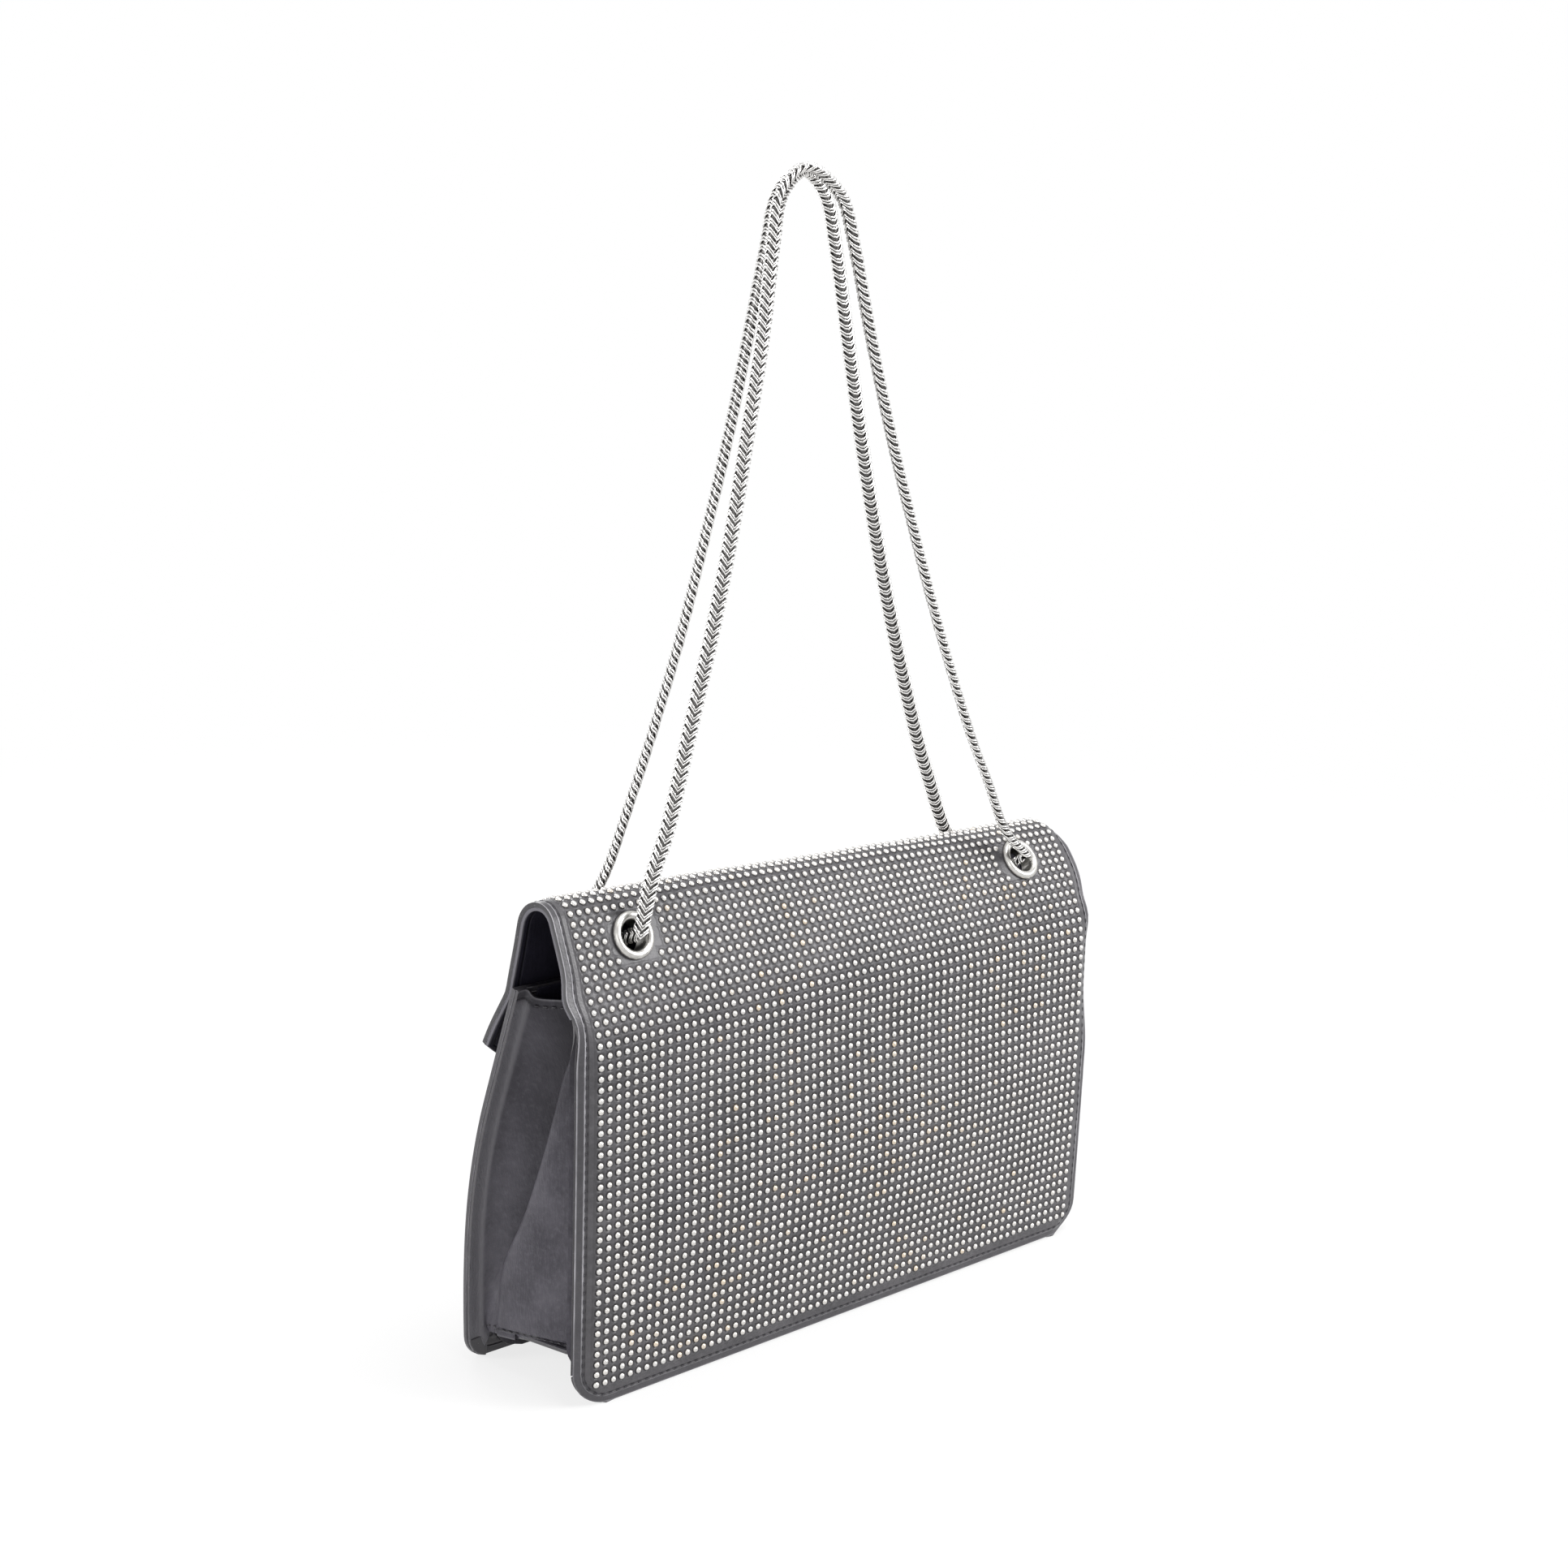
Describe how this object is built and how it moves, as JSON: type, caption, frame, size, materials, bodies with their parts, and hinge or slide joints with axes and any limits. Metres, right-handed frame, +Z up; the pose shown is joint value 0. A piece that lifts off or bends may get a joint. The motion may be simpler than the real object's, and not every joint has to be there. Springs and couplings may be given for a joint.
{
  "type": "studded leather shoulder bag",
  "caption": "Leather shoulder bag with a fold-over flap, side gussets, studded panels and a chain strap looped through eyelets.",
  "frame": {"origin": "centre of the bag's footprint on the surface that it stands on", "axes": "+Z up, the front with the flap's edge looks along -Y, +X to the bag's left when it is worn facing out, which is right in a view along +Y"},
  "size_m": [0.2814, 0.074, 0.4443],
  "materials": {
    "leather": "fine-grained dark grey leather, satin",
    "lining": "smooth near-black lining leather, matt",
    "silver": "brass with a polished silver plating",
    "steel": "plain nickelled steel"
  },
  "bodies": {
    "body": {"back_panel": "leather", "back_lining": "lining", "base_panel": "leather", "base_lining": "lining", "gusset_left": "leather", "gusset_right": "leather", "slip_pocket": "lining"},
    "front": {"front_panel": "leather", "front_lining": "lining", "snap_socket": "steel", "snap_backing": "steel"},
    "flap": {"flap_leather": "leather", "flap_lining": "lining", "snap_stud": "steel", "eyelet_back_left": "silver", "eyelet_back_right": "silver", "eyelet_front_left": "silver", "eyelet_front_right": "silver", "washer_back_left": "steel", "washer_back_right": "steel", "washer_front_left": "steel", "washer_front_right": "steel", "chain_run_left": "silver", "chain_run_right": "silver"},
    "strap_back": {"strap_back_chain": "silver"},
    "strap_front": {"strap_front_chain": "silver"}
  },
  "joints": [
    {"name": "flap_fold", "type": "hinge", "parent": "body", "child": "flap", "pos_m": [0, 0.03017, 0.14705], "axis": [-1, 0, 0], "range_deg": [0, 100]},
    {"name": "strap_back_swing", "type": "hinge", "parent": "flap", "child": "strap_back", "pos_m": [0, 0.02447, 0.17065], "axis": [-0.9999, -0.0073, -0.008], "range_deg": [0, 80]},
    {"name": "strap_front_swing", "type": "hinge", "parent": "flap", "child": "strap_front", "pos_m": [0, -0.01131, 0.16615], "axis": [1, 0.0019, 0.0049], "range_deg": [0, 115]},
    {"name": "front_squeeze", "type": "hinge", "parent": "body", "child": "front", "pos_m": [0, -0.03114, 0.016], "axis": [-1, 0, 0], "range_deg": [0, 8], "deforming": ["gusset_left", "gusset_right"]}
  ]
}
